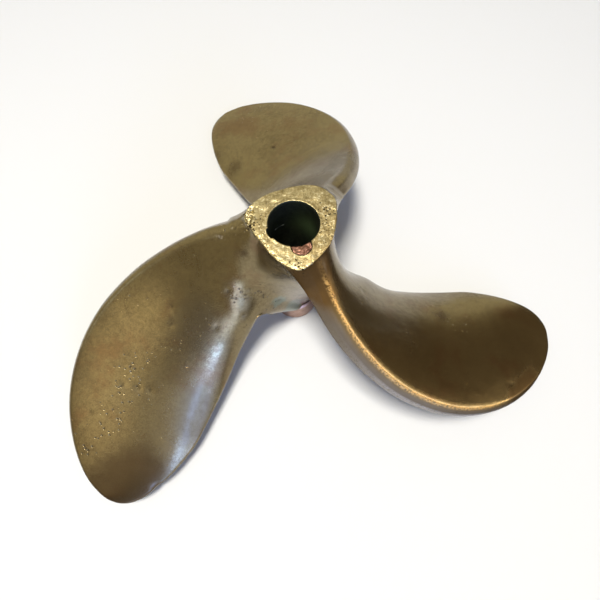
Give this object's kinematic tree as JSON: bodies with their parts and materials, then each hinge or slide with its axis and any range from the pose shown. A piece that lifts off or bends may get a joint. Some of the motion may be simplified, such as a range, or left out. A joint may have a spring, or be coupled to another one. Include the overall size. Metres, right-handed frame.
{
  "type": "ship propeller",
  "caption": "Bronze left-hand boat propeller with broad skewed blades, tapering hub, keyed taper bore, copper peg and end collar.",
  "frame": {"origin": "on the axis of the bore, at the height of the centre of mass, 49.8 mm below the hub face", "axes": "+Z along the axis of the bore towards its large mouth; +X and +Y across, with one blade's middle at about 210 degrees from +X"},
  "size_m": [0.29, 0.2885, 0.098],
  "materials": {
    "cast_bronze": "old cast bronze with an olive brown patina, rubbed bright on edges and filed bright on the hub face",
    "copper": "rough hammered copper, reddish",
    "pink_copper": "dull pinkish copper"
  },
  "bodies": {
    "root": {"propeller_casting": "cast_bronze", "copper_peg": "copper", "end_collar": "pink_copper"}
  },
  "joints": []
}
